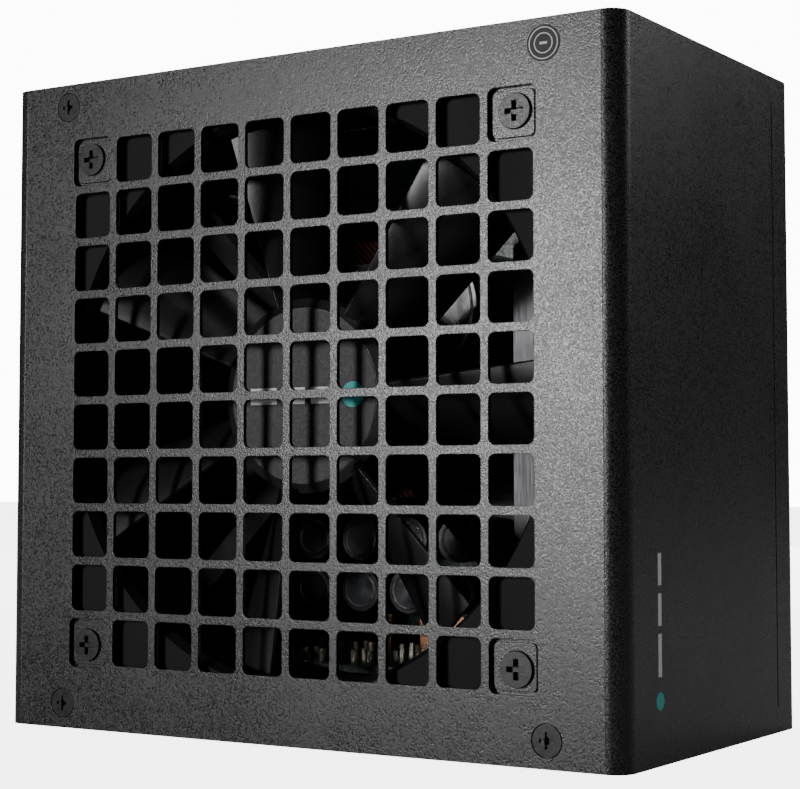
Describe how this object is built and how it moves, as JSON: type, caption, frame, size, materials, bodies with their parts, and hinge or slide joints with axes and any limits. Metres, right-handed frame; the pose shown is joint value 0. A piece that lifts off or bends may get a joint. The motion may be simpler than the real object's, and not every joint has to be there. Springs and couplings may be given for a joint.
{
  "type": "computer power supply unit",
  "caption": "Box-shaped desktop computer power supply with a folded steel case, square-cell fan grille, mains inlet, rocker switch and detachable cable sockets.",
  "frame": {"origin": "centre of the face that carries the cable sockets, on which the unit stands", "axes": "+X across the 150 mm width, -Y out through the fan grille, +Z from the cable sockets to the mains panel"},
  "size_m": [0.15, 0.0861, 0.1432],
  "materials": {
    "case_coat": "fine powder coat, satin",
    "screw_black": "black zinc",
    "sticker": "satin vinyl",
    "fan_plastic": "moulded, satin",
    "hub_label": "coated",
    "steel": "plain",
    "bronze": "sintered",
    "magnet": "bonded ferrite",
    "core_steel": "laminated",
    "enamel_wire": "enamelled copper",
    "board_green": "solder mask",
    "socket_plastic": "moulded nylon",
    "contact_metal": "tin plated",
    "inlet_plastic": "moulded, satin",
    "rocker_plastic": "moulded, gloss",
    "clear_film": "translucent film",
    "heatsink_metal": "extruded",
    "black_epoxy": "moulded epoxy",
    "capacitor_sleeve": "shrink sleeve",
    "film_yellow": "moulded box",
    "ceramic_blue": "dipped",
    "ferrite": "sintered",
    "fuse_body": "glazed",
    "copper": "tin washed copper",
    "lead_black": "insulation",
    "lead_green": "insulation"
  },
  "bodies": {
    "case": {"fan_cover": "case_coat", "housing_tray": "case_coat", "cover_screws": "screw_black", "fan_screws": "screw_black", "board_screws": "screw_black", "seal_sticker": "sticker", "fan_frame": "fan_plastic", "fan_spider": "fan_plastic", "earth_screw": "steel", "board_standoffs": "steel", "fan_bearing": "bronze", "stator_core": "core_steel", "stator_windings": "enamel_wire", "mains_choke_windings": "enamel_wire", "boost_choke_winding": "enamel_wire", "transformer_windings": "enamel_wire", "main_board": "board_green", "socket_board": "board_green", "inlet_filter_board": "board_green", "supervisor_board": "board_green", "fan_circuit_board": "board_green", "socket_18_pin": "socket_plastic", "socket_10_pin": "socket_plastic", "sockets_8_pin": "socket_plastic", "sockets_6_pin": "socket_plastic", "fan_plug": "socket_plastic", "socket_pins": "contact_metal", "inlet_pins": "contact_metal", "switch_terminals": "contact_metal", "earth_terminal": "contact_metal", "inlet_housing": "inlet_plastic", "switch_frame": "inlet_plastic", "insulation_sheet": "clear_film", "primary_heatsink": "heatsink_metal", "secondary_heatsinks": "heatsink_metal", "bridge_rectifier": "black_epoxy", "power_transistors": "black_epoxy", "inrush_relay": "black_epoxy", "bulk_capacitor": "capacitor_sleeve", "output_capacitors": "capacitor_sleeve", "film_capacitors": "film_yellow", "safety_capacitors": "ceramic_blue", "inrush_thermistor": "ceramic_blue", "mains_choke_cores": "ferrite", "boost_choke_core": "ferrite", "transformer_cores": "ferrite", "resonant_inductor": "ferrite", "output_inductors": "ferrite", "input_fuse": "fuse_body", "busbars": "copper", "ac_leads": "lead_black", "fan_lead": "lead_black", "earth_lead": "lead_green"},
    "fan": {"fan_rotor": "fan_plastic", "hub_label": "hub_label", "rotor_shaft": "steel", "rotor_yoke": "steel", "rotor_magnet": "magnet", "shaft_retainer": "steel"},
    "rocker": {"switch_rocker": "rocker_plastic"}
  },
  "joints": [
    {"name": "fan_spin", "type": "hinge", "parent": "case", "child": "fan", "pos_m": [0, 0, 0.0704], "axis": [0, -1, 0], "continuous": true},
    {"name": "rocker_tilt", "type": "hinge", "parent": "case", "child": "rocker", "pos_m": [0.027, 0.006, 0.1395], "axis": [1, 0, 0], "range_deg": [0, 16]}
  ]
}
